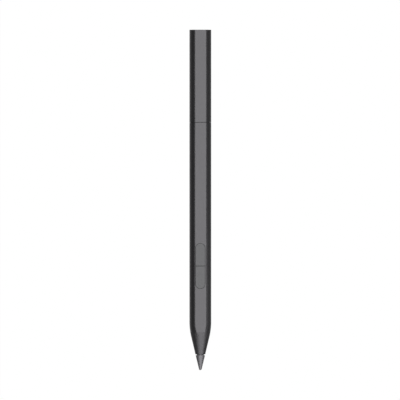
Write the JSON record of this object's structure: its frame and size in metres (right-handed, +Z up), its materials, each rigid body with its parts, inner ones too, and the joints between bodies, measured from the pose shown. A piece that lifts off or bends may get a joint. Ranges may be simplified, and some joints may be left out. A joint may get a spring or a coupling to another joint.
{
  "type": "stylus pen",
  "caption": "Round digital stylus pen with a flat side, flush keys, a tapered nose with a sprung nib, and a cap that slides open over its charging port.",
  "frame": {"origin": "under the middle of the pen's length, on the surface that it lies on with its flat up", "axes": "+Y along the pen from the nib to the cap, +Z up out of the flat, +X to the right"},
  "size_m": [0.0094, 0.1484, 0.0088],
  "materials": {
    "graphite_aluminium": "fine blasted and anodised dark graphite",
    "graphite_plastic": "moulded, fine satin texture",
    "key_plastic": "moulded and painted to match the barrel",
    "nib_plastic": "moulded, smooth satin",
    "black_plastic": "moulded, matt black",
    "acetal": "turned, slippery",
    "brass": "turned",
    "spring_steel": "bright drawn",
    "nickel": "nickel plated",
    "battery_can": "sleeved can",
    "board_laminate": "green solder mask",
    "flex_film": "amber film",
    "ceramic": "unglazed",
    "silicone": "soft moulded",
    "clear_peg": "clear moulded"
  },
  "bodies": {
    "body": {"barrel": "graphite_aluminium", "nose_cone": "graphite_plastic", "guide_bush": "acetal", "tilt_electrode": "brass", "sensor_housing": "black_plastic", "sensor_cap": "black_plastic", "sensor_pad": "silicone", "pressure_sensor": "ceramic", "return_spring": "spring_steel", "chassis": "black_plastic", "main_board": "board_laminate", "board_screws": "spring_steel", "controller_chip": "black_plastic", "power_chip": "black_plastic", "antenna": "ceramic", "front_switch": "black_plastic", "rear_switch": "black_plastic", "sensor_flex": "flex_film", "board_connector": "black_plastic", "flex_cable": "flex_film", "battery_cell": "battery_can", "battery_tabs": "nickel", "magnet_carrier": "black_plastic", "magnets": "nickel", "tail_sleeve": "black_plastic", "port_shell": "spring_steel", "port_tongue": "black_plastic", "port_board": "board_laminate", "charge_light": "clear_peg", "detent_spring": "spring_steel"},
    "cap": {"cap_shell": "graphite_aluminium", "cap_end_plug": "graphite_plastic"},
    "nib_carrier": {"nib_holder": "brass"},
    "nib_unit": {"nib": "nib_plastic"},
    "front_button": {"front_key": "key_plastic", "front_plunger": "acetal"},
    "rear_button": {"rear_key": "key_plastic", "rear_plunger": "acetal"}
  },
  "joints": [
    {"name": "cap_slide", "type": "slide", "parent": "body", "child": "cap", "axis": [0, 1, 0], "range_m": [0, 0.0125]},
    {"name": "nib_press", "type": "slide", "parent": "body", "child": "nib_carrier", "axis": [0, 1, 0], "range_m": [0, 0.0002], "stiffness_N_per_m": 650, "springref_m": -0.0004, "deforming": ["return_spring", "sensor_pad"]},
    {"name": "nib_pull", "type": "slide", "parent": "nib_carrier", "child": "nib_unit", "axis": [0, -1, 0], "range_m": [0, 0.009]},
    {"name": "front_button_press", "type": "slide", "parent": "body", "child": "front_button", "axis": [0, 0, -1], "range_m": [0, 0.00025], "stiffness_N_per_m": 3000, "springref_m": -0.0001},
    {"name": "rear_button_press", "type": "slide", "parent": "body", "child": "rear_button", "axis": [0, 0, -1], "range_m": [0, 0.00025], "stiffness_N_per_m": 3000, "springref_m": -0.0001}
  ]
}
